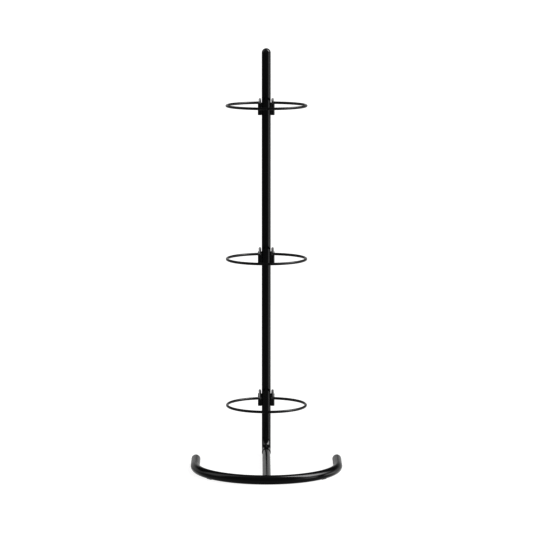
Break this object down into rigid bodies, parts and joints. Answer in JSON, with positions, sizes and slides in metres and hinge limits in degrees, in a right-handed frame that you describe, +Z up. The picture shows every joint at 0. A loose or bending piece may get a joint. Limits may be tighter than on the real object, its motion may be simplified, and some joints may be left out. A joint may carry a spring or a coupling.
{
  "type": "exercise ball rack",
  "caption": "Free-standing tube rack for exercise balls: a tall domed post bends into a floor leg on a U-shaped base and carries level wire hoops that lift out of sockets.",
  "frame": {"origin": "centre of the rack's footprint, on the floor", "axes": "+Z up along the post; -Y towards the open front, where the floor tube curves round; +X to the right seen from the front"},
  "size_m": [0.671, 0.7467, 1.846],
  "materials": {
    "gloss_black_paint": "gloss black powder coat",
    "rod_black_paint": "gloss black powder coat on rod",
    "plug_plastic": "polished moulded black",
    "pad_rubber": "matte",
    "black_bolt_steel": "black oxide",
    "sleeve_steel": "zinc plated",
    "nut_steel": "zinc plated"
  },
  "bodies": {
    "stand": {"base_plug_left": "plug_plastic", "base_plug_right": "plug_plastic", "base_tube": "gloss_black_paint", "front_pad_left": "pad_rubber", "front_pad_right": "pad_rubber", "heel_pad": "pad_rubber", "joint_bolts": "black_bolt_steel", "leg": "gloss_black_paint", "leg_screw": "black_bolt_steel", "lower_post": "gloss_black_paint", "lower_sleeve": "sleeve_steel", "lower_socket_left": "gloss_black_paint", "lower_socket_right": "gloss_black_paint", "middle_post": "gloss_black_paint", "middle_socket_left": "gloss_black_paint", "middle_socket_right": "gloss_black_paint", "rear_pad_left": "pad_rubber", "rear_pad_right": "pad_rubber", "rivet_nuts": "nut_steel", "saddle_washers": "black_bolt_steel", "top_plug": "plug_plastic", "upper_post": "gloss_black_paint", "upper_sleeve": "sleeve_steel", "upper_socket_left": "gloss_black_paint", "upper_socket_right": "gloss_black_paint"},
    "lower_hoop": {"lower_hoop": "rod_black_paint"},
    "middle_hoop": {"middle_hoop": "rod_black_paint"},
    "upper_hoop": {"upper_hoop": "rod_black_paint"}
  },
  "joints": [
    {"name": "lower_hoop_lift", "type": "slide", "parent": "stand", "child": "lower_hoop", "axis": [0, 0, 1], "range_m": [0, 0.06]},
    {"name": "middle_hoop_lift", "type": "slide", "parent": "stand", "child": "middle_hoop", "axis": [0, 0, 1], "range_m": [0, 0.06]},
    {"name": "upper_hoop_lift", "type": "slide", "parent": "stand", "child": "upper_hoop", "axis": [0, 0, 1], "range_m": [0, 0.06]}
  ]
}
